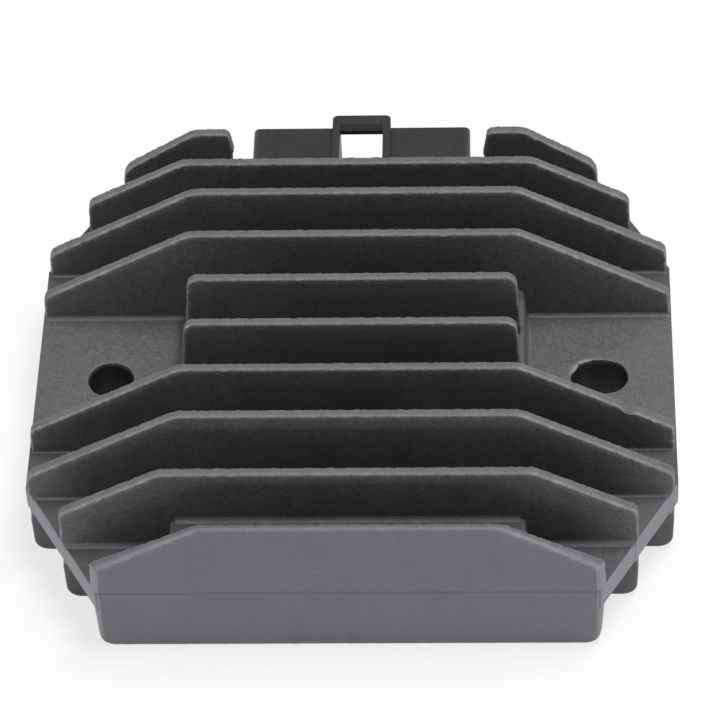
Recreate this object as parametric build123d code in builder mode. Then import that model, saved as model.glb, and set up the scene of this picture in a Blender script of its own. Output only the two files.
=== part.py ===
from build123d import *
from math import radians, tan
import os

os.makedirs("parts", exist_ok=True)

# Voltage regulator rectifier: a finned die casting with a resin-filled pocket and a two-socket connector.
# Millimetres and degrees. The origin lies midway between the mounting holes, on the mounting plane.
# +Z points to the fin crests, +Y to the connector and +X to the slotted hole.

# Mounting
hole_spacing = 80.0
hole_diameter = 7.4
slot_length = 9.3
boss_wall = 3.8
boss_web = 7.0

# Base plate
plate_width = 104.4
plate_thickness = 4.5
deck_height = 12.75
front_cut_x = 12.9
front_cut_y = 22.4
rear_cut_x = 11.6
rear_cut_y = 21.0

# Fins
fin_pitch = 10.0
fin_base = 2.1
fin_draft = 0.5
end_draft = 3.0
end_inset = 0.45
rim_bevel = 0.3
foot_radius = 0.6
shoulder_radius = 4.0
tip_radius = 1.2
short_fin_corner = 2.0
short_fin_inset = 0.8
split_fin_corner = 1.2
split_fin_tip = 4.0
split_fin_clearance = 2.8

# Fin rows from the rear to the front: crest height above the plate, the bend's distance inside the plate's
# side, and the slope beyond the bend. The two short rows in the middle have none.
fin_rows = (
    (13.3, 24.2, 33.4),
    (15.9, 23.0, 29.3),
    (18.7, 25.2, 29.5),
    (18.8, 25.2, 29.5),
    (18.8, None, None),
    (18.8, None, None),
    (18.8, 25.2, 29.5),
    (18.75, 25.2, 29.5),
    (16.3, 23.0, 29.3),
    (14.4, 28.7, 29.3),
)

# Raised block and pocket
block_width = 56.8
block_height = 5.9
block_draft = 5.3
block_edge = 0.8
wall_thickness = 3.0
roof_thickness = 3.2
rear_wall_setback = 1.85
pocket_draft = 1.0
pocket_corner = 3.0

# Lower ribs
rib_corner = 2.5
rib_draft = 1.0
front_rib_draft = 2.5

# Connector
socket_width = 15.0
socket_slot = 7.4
socket_wall = 1.3
socket_corner = 1.0
cavity_corner = 0.6
socket_bottom = 1.2
socket_reach = 12.8
socket_floor = 2.6
flange_thickness = 2.2
flange_lap = 2.2
fit_clearance = 0.15
key_width = 1.2
key_height = 1.0
loop_rise = 1.6
loop_bar_width = 3.0
loop_bar_thickness = 1.7
loop_bar_bevel = 0.9
loop_overhang = 1.5
loop_corner = 0.9

# Blades
blade_width = 6.3
blade_thickness = 0.8
blade_pitch = 3.9
blade_setback = 4.6
blade_tip_chamfer = 0.3
tail_width = 2.4
tail_step = 3.0

# Electronics
pad_thickness = 0.4
pad_margin = 2.0
board_thickness = 1.6
board_margin = 2.5
board_height = 5.5
package_width = 10.2
package_length = 9.2
package_thickness = 4.5
tab_length = 6.0
tab_thickness = 1.3
tab_hole = 3.6
lead_pitch = 2.54
lead_width = 0.8
lead_thickness = 0.5
lead_run = 4.0
package_margin = 2.3
package_row_gap = 16.8
package_chamfer = 0.4
chip_size = (5.0, 4.0, 1.6)
reference_size = (2.6, 4.3, 2.2)
capacitor_size = (5.0, 3.9)
control_pitch = 9.0
resistor_size = (3.2, 1.6, 0.6)
resistor_count = 6
resistor_pitch = 4.4
resin_recess = 0.8

# Derived places
half_width = plate_width / 2
crest_height = max(height for height, bend_inset, slope in fin_rows)
half_depth = (len(fin_rows) - 1) * fin_pitch / 2 + fin_base / 2
block_top = deck_height + block_height
pocket_ceiling = block_top - roof_thickness
wall_rear = half_depth - rear_wall_setback
wall_inner = wall_rear - wall_thickness
pocket_front = -half_depth + wall_thickness
block_front = -half_depth + fin_base / 2
block_foot_half = block_width / 2 - block_height * tan(radians(block_draft)) - block_edge
pocket_width = block_width - 2 * wall_thickness
socket_half = socket_slot / 2 + socket_width
socket_top = pocket_ceiling - fit_clearance
socket_rear = wall_rear + socket_reach
socket_centre_z = (socket_bottom + socket_top) / 2
split_fin_half = socket_half + split_fin_clearance
socket_height = socket_top - socket_bottom
socket_centres = (-(socket_slot + socket_width) / 2, (socket_slot + socket_width) / 2)
flange_half = socket_half + flange_lap
flange_rear = wall_inner - pocket_ceiling * tan(radians(pocket_draft))
flange_front = flange_rear - flange_thickness
cavity_floor = flange_rear + socket_floor
key_level = socket_top - socket_wall
key_places = [(x + shift, key_level) for x, shift in zip(socket_centres, (-socket_width / 4, socket_width / 4))]
loop_half = socket_slot / 2 + socket_wall
loop_rear = socket_rear + loop_overhang
loop_top = socket_top + loop_rise
loop_bar_front = loop_rear - loop_bar_width
blade_levels = [socket_centre_z + (level - 1) * blade_pitch for level in range(3)]
blade_tip = socket_rear - blade_setback
board_top = board_height + board_thickness
board_front = pocket_front + board_margin
board_rear = flange_front - board_margin
device_top = pocket_ceiling - pad_thickness
board_half = pocket_width / 2 - board_margin
device_row_y = (board_front + board_rear) / 2
package_pitch = board_half - package_margin - package_width / 2
package_row_offset = (package_row_gap + package_length) / 2
reference_y = -control_pitch
capacitor_y = control_pitch


def row_y(row):
    """Centre of a fin row, from the rear row 0 to the front row."""
    return (len(fin_rows) - 1) * fin_pitch / 2 - row * fin_pitch


def plate_half_width(y):
    """Half width of the base plate at a depth y, inside its cut corners."""
    cut_x, cut_y = (front_cut_x, front_cut_y) if y < 0 else (rear_cut_x, rear_cut_y)
    return half_width - cut_x * max(0.0, abs(y) - (half_depth - cut_y)) / cut_y


def plate_outline(height, amount, taper):
    """The plate's eight-sided outline at a height, extruded with draft."""
    corners = []
    for depth, cut_x, cut_y in ((-half_depth, front_cut_x, front_cut_y), (half_depth, rear_cut_x, rear_cut_y)):
        inner_y = depth + cut_y if depth < 0 else depth - cut_y
        side = [(half_width - cut_x, depth), (half_width, inner_y)]
        corners += side if depth < 0 else side[::-1]
    corners += [(-x, y) for x, y in reversed(corners)]
    with BuildPart() as outline:
        with BuildSketch(Plane.XY.offset(height)):
            with BuildLine():
                Polyline(*corners, close=True)
            make_face()
        extrude(amount=amount, taper=taper)
    return outline.part


def rim_edges(wall, base_height):
    """Edges of a wall's two long faces, without those where it stands."""
    faces = wall.faces().filter_by(lambda face: abs(face.normal_at().Y) > 0.9)
    return faces.edges().filter_by(lambda edge: abs(edge.center().Z - base_height) > 0.01)


def is_trimmed(row):
    """Whether a fin row ends flush with the front corner cuts, as only the front row does."""
    return row == len(fin_rows) - 1


def fin_reach(row):
    """Half length of a fin row at the plate."""
    reach = plate_half_width(row_y(row) + fin_base / 2)
    return reach + fin_base if is_trimmed(row) else reach - end_inset


def is_slanted(edge):
    """Whether an edge runs across a wall along a corner cut."""
    direction = edge.tangent_at(0.5)
    return min(abs(direction.X), abs(direction.Y)) > 0.2


def is_bottom_corner(edge):
    """Whether an edge runs along a corner cut on the mounting plane."""
    return is_slanted(edge) and abs(edge.center().Z) < 0.01


def fin_profile(row):
    """Draw the right half of a fin's outline in front view, height above the plate."""
    height, bend_inset, slope = fin_rows[row]
    slant = tan(radians(end_draft))
    if bend_inset is None:
        foot = block_width / 2 - short_fin_inset
        FilletPolyline((0, height), (foot - height * slant, height), (foot, 0), radius=short_fin_corner)
        Polyline((foot, 0), (0, 0), (0, height))
        return
    level = half_width - bend_inset
    fall = tan(radians(slope))
    reach = fin_reach(row)
    if is_trimmed(row):
        low = height - (reach - level) * fall
        FilletPolyline((0, height), (level, height), (reach, low), radius=shoulder_radius)
        Polyline((reach, low), (reach, 0), (0, 0), (0, height))
        return
    tip = (height - (reach - level) * fall) / (1 - slant * fall)
    slope_points = [(level, height), (reach - tip * slant, tip), (reach, 0)]
    if row == 0:
        inner = split_fin_half
        level_length = level - inner
        radii = [min(split_fin_corner, level_length / 3), min(shoulder_radius, level_length), split_fin_tip]
        FilletPolyline((inner, 0), (inner, height), *slope_points, radius=radii)
        Line((reach, 0), (inner, 0))
    else:
        FilletPolyline((0, height), *slope_points, radius=[shoulder_radius, tip_radius])
        Polyline((reach, 0), (0, 0), (0, height))


def cast_fin(row):
    """One fin row: a drafted wall cut to its outline, with rounded rims."""
    y = row_y(row)
    with BuildPart() as fin:
        with BuildSketch(Plane.XY.offset(deck_height)):
            with Locations((0, y)):
                Rectangle(plate_width + fin_pitch, fin_base)
        extrude(amount=fin_rows[row][0], taper=fin_draft)
        with BuildSketch(Plane.XZ.offset(-y).shift_origin((0, y, deck_height))):
            with BuildLine():
                fin_profile(row)
            make_face()
            mirror(about=Plane.YZ)
        extrude(amount=fin_base, both=True, mode=Mode.INTERSECT)
        if is_trimmed(row):
            add(upper_form, mode=Mode.INTERSECT)
            raised = fin.edges().filter_by(lambda edge: edge.center().Z > deck_height + rim_bevel)
            fillet(raised.filter_by(is_slanted), tip_radius)
        chamfer(rim_edges(fin, deck_height), rim_bevel)
    return fin.part


def cast_rib(row):
    """One lower rib: a drafted wall under the plate, with rounded bottom corners."""
    y = row_y(row)
    reach = fin_reach(row)
    with BuildPart() as rib:
        with BuildSketch(Plane.XY.offset(deck_height)):
            with Locations((0, y)):
                Rectangle(plate_width + fin_pitch, fin_base)
        extrude(amount=-deck_height, taper=fin_draft)
        with BuildSketch(Plane.XZ.offset(-y).shift_origin((0, y, 0))):
            with BuildLine():
                foot = reach - deck_height * tan(radians(rib_draft))
                FilletPolyline((0, 0), (foot, 0), (reach, deck_height), radius=rib_corner)
                Polyline((reach, deck_height), (0, deck_height), (0, 0))
            make_face()
            mirror(about=Plane.YZ)
        extrude(amount=fin_base, both=True, mode=Mode.INTERSECT)
        if is_trimmed(row):
            add(lower_form, mode=Mode.INTERSECT)
    return rib.part


def foot_strip(y, height, half_length):
    """The concave foot along both faces of a fin, where it stands on a level floor."""
    top = fin_base / 2 - (height + foot_radius - deck_height) * tan(radians(fin_draft))
    with BuildPart() as strip:
        with BuildSketch(Plane.YZ):
            with BuildLine():
                right = CenterArc((y + top + foot_radius, height + foot_radius), foot_radius, 180, 90)
                left = CenterArc((y - top - foot_radius, height + foot_radius), foot_radius, 270, 90)
                Line(right @ 1, left @ 0)
                Line(right @ 0, left @ 1)
            make_face()
        extrude(amount=half_length, both=True)
        add(upper_form, mode=Mode.INTERSECT)
    return strip.part


def side_strips():
    """The concave feet along the two sides of the raised block."""
    x = block_width / 2 + foot_radius
    inner_x = block_width / 2 - foot_radius
    with BuildPart() as strips:
        with BuildSketch(Plane.XZ.offset(-wall_rear)):
            with BuildLine():
                arc = CenterArc((x, deck_height + foot_radius), foot_radius, 180, 90)
                Polyline(arc @ 0, (inner_x, deck_height + foot_radius), (inner_x, deck_height), arc @ 1)
            make_face()
            mirror(about=Plane.YZ)
        extrude(amount=wall_rear - block_front)
    return strips.part


def raised_block():
    """The domed block over the pocket, with soft upper edges."""
    with BuildPart() as block:
        with BuildSketch(Plane.XY.offset(deck_height)):
            with Locations((0, (wall_rear + block_front) / 2)):
                Rectangle(block_width, wall_rear - block_front)
        extrude(amount=block_height, taper=block_draft)
        fillet(block.faces().sort_by(Axis.Z)[-1].edges().filter_by(Axis.Y), block_edge)
    return block.part


def pocket_form():
    """The electronics pocket, open below and narrowing upwards with its draft."""
    with BuildPart() as pocket:
        with BuildSketch():
            with Locations((0, (pocket_front + wall_inner) / 2)):
                RectangleRounded(pocket_width, wall_inner - pocket_front, pocket_corner)
        extrude(amount=pocket_ceiling, taper=pocket_draft)
    return pocket.part


def ear_boss(side, length):
    """The boss around one mounting hole, with a web to the pocket wall."""
    centre = side * hole_spacing / 2
    web_length = hole_spacing / 2 - block_width / 2
    with BuildPart() as boss:
        with BuildSketch(Plane.XY.offset(deck_height - plate_thickness)):
            with Locations((centre, 0)):
                if length > hole_diameter:
                    SlotOverall(length + 2 * boss_wall, hole_diameter + 2 * boss_wall)
                else:
                    Circle(hole_diameter / 2 + boss_wall)
            with Locations((centre - side * web_length / 2, 0)):
                Rectangle(web_length, boss_web)
        extrude(amount=plate_thickness - deck_height, taper=fin_draft)
    return boss.part


upper_form = plate_outline(deck_height, crest_height + fin_base, end_draft)
lower_outline = plate_outline(deck_height, -deck_height, front_rib_draft)
lower_form = fillet(lower_outline.edges().filter_by(is_bottom_corner), rib_corner)
long_rows = [row for row, (height, bend_inset, slope) in enumerate(fin_rows) if bend_inset is not None]

# Heatsink casting
with BuildPart() as heatsink:
    add(plate_outline(deck_height, -plate_thickness, 0))
    with BuildSketch(Plane.XY.offset(deck_height)):
        with Locations((0, (wall_rear + block_front) / 2)):
            Rectangle(block_width, wall_rear - block_front)
    extrude(amount=-deck_height, taper=fin_draft)
    add([ear_boss(-1, hole_diameter), ear_boss(1, slot_length), raised_block(), side_strips()])
    add([cast_rib(row) for row in long_rows])
    add([cast_fin(row) for row in range(len(fin_rows))])
    add([foot_strip(row_y(row), block_top, block_foot_half) for row in range(1, len(fin_rows))])
    add([foot_strip(row_y(row), deck_height, fin_reach(row)) for row in long_rows])
    add(pocket_form(), mode=Mode.SUBTRACT)
    with BuildSketch():
        with Locations((0, (flange_rear + wall_rear) / 2)):
            Rectangle(2 * (socket_half + fit_clearance), wall_rear - flange_rear)
    extrude(amount=pocket_ceiling, mode=Mode.SUBTRACT)
    with BuildSketch():
        with Locations((0, half_depth)):
            Rectangle(2 * split_fin_half, 2 * (half_depth - wall_rear))
        with Locations((-hole_spacing / 2, 0)):
            Circle(hole_diameter / 2)
        with Locations((hole_spacing / 2, 0)):
            SlotOverall(slot_length, hole_diameter)
    extrude(amount=block_top, mode=Mode.SUBTRACT)

# Connector housing: flange in the pocket, two shrouds through the rear wall and the latch loop on top
with BuildPart() as connector_housing:
    with BuildSketch(Plane.XZ.offset(-flange_front)):
        with Locations((0, socket_centre_z)):
            Rectangle(2 * flange_half, socket_height)
    extrude(amount=-flange_thickness)
    with BuildSketch(Plane.XZ.offset(-flange_rear)):
        with Locations((0, socket_centre_z)):
            RectangleRounded(2 * socket_half, socket_height, socket_corner)
    extrude(amount=flange_rear - socket_rear)
    with BuildSketch(Plane.XZ.offset(-socket_rear)):
        with Locations((0, socket_centre_z)):
            Rectangle(socket_slot, socket_height)
    extrude(amount=socket_rear - wall_rear, mode=Mode.SUBTRACT)
    with BuildSketch(Plane.XZ.offset(-socket_rear)):
        with Locations(*[(x, socket_centre_z) for x in socket_centres]):
            RectangleRounded(socket_width - 2 * socket_wall, socket_height - 2 * socket_wall, cavity_corner)
    extrude(amount=socket_rear - cavity_floor, mode=Mode.SUBTRACT)
    with BuildSketch(Plane.XZ.offset(-socket_rear)):
        with Locations(*key_places):
            Rectangle(key_width, 2 * key_height)
    extrude(amount=socket_rear - cavity_floor, mode=Mode.ADD)
    with BuildSketch(Plane.XY.offset(loop_top)):
        with BuildLine():
            FilletPolyline((-loop_half, wall_rear), (-loop_half, loop_rear), (loop_half, loop_rear),
                           (loop_half, wall_rear), radius=loop_corner)
            Line((-loop_half, wall_rear), (loop_half, wall_rear))
        make_face()
        with Locations((0, (wall_rear + loop_bar_front) / 2)):
            Rectangle(socket_slot, loop_bar_front - wall_rear, mode=Mode.SUBTRACT)
    extrude(amount=-loop_bar_thickness)
    loop_edges = connector_housing.edges().filter_by(Axis.X).group_by(Axis.Z)[-1]
    chamfer(loop_edges.filter_by_position(Axis.Y, loop_bar_front, loop_bar_front), loop_bar_bevel)
    with BuildSketch(Plane.XZ.offset(-cavity_floor)):
        with Locations(*[(x, z) for x in socket_centres for z in blade_levels]):
            Rectangle(blade_width, blade_thickness)
    extrude(amount=cavity_floor - flange_front, mode=Mode.SUBTRACT)


def terminal(x, level):
    """One blade with a narrow tail that turns to the circuit board."""
    z = blade_levels[level]
    leg_y = board_rear - tail_width - level * tail_step
    below = z < board_height
    meets = board_height if below else board_top
    with BuildPart() as blade:
        with BuildSketch(Plane.XY.offset(z - blade_thickness / 2)):
            with Locations((x, (flange_front - tail_step / 2 + blade_tip) / 2)):
                Rectangle(blade_width, blade_tip - flange_front + tail_step / 2)
            with Locations((x, (leg_y + flange_front) / 2)):
                Rectangle(tail_width, flange_front - leg_y)
        extrude(amount=blade_thickness)
        tip = blade.faces().sort_by(Axis.Y)[-1]
        chamfer(tip.edges().filter_by(Axis.X), blade_tip_chamfer)
        with BuildSketch(Plane.XY.offset(z + (-1 if below else 1) * blade_thickness / 2)):
            with Locations((x, leg_y + blade_thickness / 2)):
                Rectangle(tail_width, blade_thickness)
        extrude(amount=meets - z - (-1 if below else 1) * blade_thickness / 2)
    return blade.part


def power_device(x, facing, leads):
    """A tab-mounted device flat on the thermal pad, its leads bent to the board."""
    y = device_row_y + facing * package_row_offset
    lead_level = device_top - package_thickness / 2
    lead_end = y - facing * (package_length / 2 + lead_run)
    with BuildPart() as device:
        with BuildSketch(Plane.XY.offset(device_top)):
            with Locations((x, y)):
                Rectangle(package_width, package_length)
        extrude(amount=-package_thickness)
        chamfer(device.faces().sort_by(Axis.Z)[0].edges(), package_chamfer)
        with BuildSketch(Plane.XY.offset(device_top)):
            with Locations((x, y + facing * (package_length + tab_length) / 2)):
                Rectangle(package_width, tab_length)
                Circle(tab_hole / 2, mode=Mode.SUBTRACT)
        extrude(amount=-tab_thickness)
        with BuildSketch(Plane.XY.offset(lead_level)):
            with Locations(*[(x + offset * lead_pitch, y - facing * (package_length + lead_run) / 2)
                             for offset in leads]):
                Rectangle(lead_width, lead_run)
        extrude(amount=-lead_thickness)
        with BuildSketch(Plane.XY.offset(lead_level)):
            with Locations(*[(x + offset * lead_pitch, lead_end + facing * lead_thickness / 2) for offset in leads]):
                Rectangle(lead_width, lead_thickness)
        extrude(amount=board_top - lead_level)
    return device.part


# Sheet between the power devices and the casting
with BuildPart() as thermal_pad:
    with BuildSketch(Plane.XY.offset(pocket_ceiling)):
        with Locations((0, device_row_y)):
            Rectangle(2 * package_pitch + package_width + 2 * pad_margin,
                      2 * package_row_offset + package_length + 2 * tab_length + 2 * pad_margin)
    extrude(amount=-pad_thickness)

# Circuit board
with BuildPart() as circuit_board:
    with BuildSketch(Plane.XY.offset(board_height)):
        with Locations((0, (board_front + board_rear) / 2)):
            RectangleRounded(2 * board_half, board_rear - board_front, board_margin)
    extrude(amount=board_thickness)

# Control parts under the board
with BuildPart() as control_chip:
    with BuildSketch(Plane.XY.offset(board_height)):
        Rectangle(chip_size[0], chip_size[1])
    extrude(amount=-chip_size[2])
    chamfer(control_chip.faces().sort_by(Axis.Z)[0].edges(), package_chamfer)
with BuildPart() as reference_diode:
    with BuildSketch(Plane.XY.offset(board_height)):
        with Locations((0, reference_y)):
            Rectangle(reference_size[0], reference_size[1])
    extrude(amount=-reference_size[2])
    chamfer(reference_diode.faces().sort_by(Axis.Z)[0].edges(), package_chamfer)
with BuildPart() as filter_capacitor:
    with BuildSketch(Plane.XY.offset(board_height)):
        with Locations((0, capacitor_y)):
            Circle(capacitor_size[0] / 2)
    extrude(amount=-capacitor_size[1])
    chamfer(filter_capacitor.faces().sort_by(Axis.Z)[0].edges(), package_chamfer)
with BuildPart() as gate_resistors:
    with BuildSketch(Plane.XY.offset(board_height)):
        with GridLocations(2 * resistor_pitch, resistor_pitch, 2, resistor_count // 2):
            Rectangle(resistor_size[0], resistor_size[1])
    extrude(amount=-resistor_size[2])

pieces = {
    "heatsink": heatsink.part,
    "connector_housing": connector_housing.part,
    "thermal_pad": thermal_pad.part,
    "circuit_board": circuit_board.part,
    "control_chip": control_chip.part,
    "reference_diode": reference_diode.part,
    "filter_capacitor": filter_capacitor.part,
    "gate_resistors": gate_resistors.part,
}
for level in range(3):
    pieces[f"terminal_phase_{level + 1}"] = terminal(socket_centres[0], level)
    x = (level - 1) * package_pitch
    pieces[f"thyristor_{level + 1}"] = power_device(x, 1, (-1, 0, 1))
    pieces[f"diode_{level + 1}"] = power_device(x, -1, (-1, 1))
for level, name in enumerate(("ground", "sense", "battery")):
    pieces[f"terminal_{name}"] = terminal(socket_centres[1], level)

# Potting resin: the pocket up to its recess, round everything that stands in it
with BuildPart() as potting_resin:
    add(pocket_form())
    split(bisect_by=Plane.XY.offset(resin_recess), keep=Keep.TOP)
    with BuildSketch():
        with Locations((0, flange_front + flange_thickness)):
            Rectangle(2 * flange_half, 2 * flange_thickness)
    extrude(amount=pocket_ceiling, mode=Mode.SUBTRACT)
    add([piece for name, piece in pieces.items() if name not in ("heatsink", "connector_housing")],
        mode=Mode.SUBTRACT)
pieces["potting_resin"] = potting_resin.part

for name, piece in pieces.items():
    piece.label = name
    export_step(piece, f"parts/{name}.step")
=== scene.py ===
import logging
from dataclasses import dataclass
from enum import Enum
from math import atan2, ceil, cos, pi, radians, sin, tan
from typing import Callable

import bmesh
import bpy
import numpy as np
from mathutils import Matrix, Vector


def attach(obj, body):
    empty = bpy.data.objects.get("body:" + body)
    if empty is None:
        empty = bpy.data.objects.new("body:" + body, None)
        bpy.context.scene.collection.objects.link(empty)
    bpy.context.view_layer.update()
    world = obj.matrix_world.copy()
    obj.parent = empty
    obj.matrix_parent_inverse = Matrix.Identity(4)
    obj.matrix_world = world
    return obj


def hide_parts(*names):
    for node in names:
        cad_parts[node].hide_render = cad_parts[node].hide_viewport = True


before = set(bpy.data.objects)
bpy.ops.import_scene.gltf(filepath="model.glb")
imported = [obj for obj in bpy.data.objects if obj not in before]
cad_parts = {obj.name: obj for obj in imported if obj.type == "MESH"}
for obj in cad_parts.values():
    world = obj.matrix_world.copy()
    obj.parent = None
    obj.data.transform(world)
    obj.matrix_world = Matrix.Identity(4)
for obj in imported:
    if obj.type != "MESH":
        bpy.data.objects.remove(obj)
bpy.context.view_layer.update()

log = logging.getLogger("regulator")
Array = np.ndarray
Socket = bpy.types.NodeSocket
Material = bpy.types.Material
Piece = bpy.types.Object
Point = tuple[float, float]
Triple = tuple[float, float, float]
Colour = tuple[float, float, float, float]
MM = 0.001
MERGE = 0.002 * MM


# Shader graphs


def operation(name: str, turned: bool = False) -> Callable[..., "Value"]:
    """A method for a Math node.

    Args:
        name: the node's operation.
        turned: whether its first number is the other one.

    Returns:
        The method, which takes another value or number.
    """
    def apply(first: "Value", second: object = 0.0) -> "Value":
        """Adds the node."""
        return first.graph.math(name, *((second, first) if turned else (first, second)))
    return apply


class Value:
    """A number that varies over a surface, held as one socket of a material's graph."""

    def __init__(self, graph: "Graph", socket: Socket) -> None:
        """Keeps the graph and its socket."""
        self.graph, self.socket = graph, socket

    __add__ = __radd__ = operation("ADD")
    __mul__ = __rmul__ = operation("MULTIPLY")
    __sub__, __rsub__ = operation("SUBTRACT"), operation("SUBTRACT", turned=True)
    least, most, size = operation("MINIMUM"), operation("MAXIMUM"), operation("ABSOLUTE")

    def rise(self, low: float, high: float) -> "Value":
        """A soft step from 0 at low to 1 at high.

        Args:
            low: where the step starts.
            high: where it ends; below low, it falls.

        Returns:
            The stepped value.
        """
        sockets = {"Value": self, "From Min": low, "From Max": high}
        if high < low:
            sockets |= {"From Min": high, "From Max": low, "To Min": 1.0, "To Max": 0.0}
        node = self.graph.add("ShaderNodeMapRange", {"interpolation_type": "SMOOTHSTEP"}, sockets)
        return Value(self.graph, node.outputs["Result"])


class Graph:
    """A node graph that starts empty."""

    def __init__(self, tree: bpy.types.NodeTree) -> None:
        """Empties the tree."""
        self.tree = tree
        self.tree.nodes.clear()

    def add(self, kind: str, settings: dict | None = None, sockets: dict | None = None) -> bpy.types.Node:
        """Adds a node.

        Args:
            kind: the node's type.
            settings: its properties, set first.
            sockets: input name or number to a number, colour, Value or socket.

        Returns:
            The node.
        """
        node = self.tree.nodes.new(kind)
        for key, value in (settings or {}).items():
            setattr(node, key, value)
        for key, value in (sockets or {}).items():
            source = value.socket if isinstance(value, Value) else value
            if isinstance(source, Socket):
                self.tree.links.new(source, node.inputs[key])
            else:
                node.inputs[key].default_value = source
        return node

    def math(self, operation: str, left: object, right: object) -> Value:
        """A Math node on two values or numbers."""
        node = self.add("ShaderNodeMath", {"operation": operation}, {0: left, 1: right})
        return Value(self, node.outputs["Value"])

    def mix(self, share: Value, first: Socket, second: Socket) -> Socket:
        """Shader mix from first at 0 to second at 1."""
        return self.add("ShaderNodeMixShader", None, {0: share, 1: first, 2: second}).outputs["Shader"]

    def seen(self) -> Value:
        """Tells rays that show things from rays that light them.

        Returns:
            1 for rays from the camera, off gloss or through clear pieces, 0 for the others.
        """
        path = self.add("ShaderNodeLightPath").outputs
        kinds = ("Camera", "Glossy", "Transmission")
        camera, gloss, clear = (Value(self, path[f"Is {kind} Ray"]) for kind in kinds)
        return camera.most(gloss).most(clear)


class SurfaceGraph(Graph):
    """The node graph of one material."""

    def __init__(self, name: str) -> None:
        """Makes an empty material with an output and millimetre coordinates.

        Args:
            name: the material's name.
        """
        self.material = bpy.data.materials.new(name)
        self.material.use_nodes = True
        super().__init__(self.material.node_tree)
        self.output = self.add("ShaderNodeOutputMaterial")
        place = self.add("ShaderNodeTexCoord").outputs["Object"]
        self.mm = self.mapped(place, (1 / MM,) * 3, 0.0)

    def mapped(self, place: Socket, scale: Triple, shift: float) -> Socket:
        """Coordinates scaled along each axis and then shifted equally along all three."""
        sockets = {"Vector": place, "Scale": scale, "Location": (shift,) * 3}
        return self.add("ShaderNodeMapping", None, sockets).outputs["Vector"]

    def axis(self, name: str) -> Value:
        """The X, Y or Z place on the object, in millimetres."""
        return Value(self, self.add("ShaderNodeSeparateXYZ", None, {"Vector": self.mm}).outputs[name])

    def attribute(self, name: str) -> Value:
        """A number stored on the mesh's points."""
        return Value(self, self.add("ShaderNodeAttribute", {"attribute_name": name}).outputs["Fac"])

    def noise(self, grain: float, detail: float, rough: float, shift: float = 0.0,
              stretch: Triple = (1.0, 1.0, 1.0)) -> Value:
        """Cloudy noise from 0 to 1.

        Args:
            grain: the size of one grain, in millimetres.
            detail: how many finer layers it has.
            rough: how strong they are.
            shift: moves the pattern, in grains.
            stretch: how many times longer grains are along X, Y and Z.

        Returns:
            The noise.
        """
        place = self.mapped(self.mm, tuple(1 / (grain * part) for part in stretch), shift)
        sockets = {"Vector": place, "Scale": 1.0, "Detail": detail, "Roughness": rough}
        return Value(self, self.add("ShaderNodeTexNoise", None, sockets).outputs["Fac"])

    def cells(self, grain: float, shift: float) -> Value:
        """Distance from the nearest of scattered points, in grains of a size in millimetres."""
        sockets = {"Vector": self.mapped(self.mm, (1 / grain,) * 3, shift), "Scale": 1.0}
        return Value(self, self.add("ShaderNodeTexVoronoi", {"feature": "F1"}, sockets).outputs["Distance"])

    def blend(self, share: Value, first: object, second: object) -> Socket:
        """Colour mix from first at 0 to second at 1, by the Mix node's sockets for colours."""
        return self.add("ShaderNodeMix", {"data_type": "RGBA"}, {0: share, 6: first, 7: second}).outputs[2]

    def relief(self, *layers: tuple[Value, float]) -> Socket:
        """Surface relief.

        Args:
            layers: heights from 0 to 1, each with the depth of 1 in millimetres.

        Returns:
            The normal that they give together.
        """
        below = {}
        for height, depth in layers:
            sockets = {"Height": height, "Distance": depth * MM, "Strength": 1.0} | below
            below = {"Normal": self.add("ShaderNodeBump", None, sockets).outputs["Normal"]}
        return below["Normal"]

    def finish(self, **sockets: object) -> Material:
        """Closes the graph with a Principled shader.

        Args:
            sockets: values by socket name, in lower case with underscores.

        Returns:
            The material.
        """
        names = {key.replace("_", " ").title().replace("Ior", "IOR"): sockets[key] for key in sockets}
        shader = self.add("ShaderNodeBsdfPrincipled", None, names)
        self.tree.links.new(shader.outputs["BSDF"], self.output.inputs["Surface"])
        return self.material


def grey(level: float, tint: float = 0.0) -> Colour:
    """A grey of the given linear level, a little purple by its tint."""
    return (level * (1 + tint), level, level * (1 + 1.9 * tint), 1.0)


# Finishes


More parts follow.
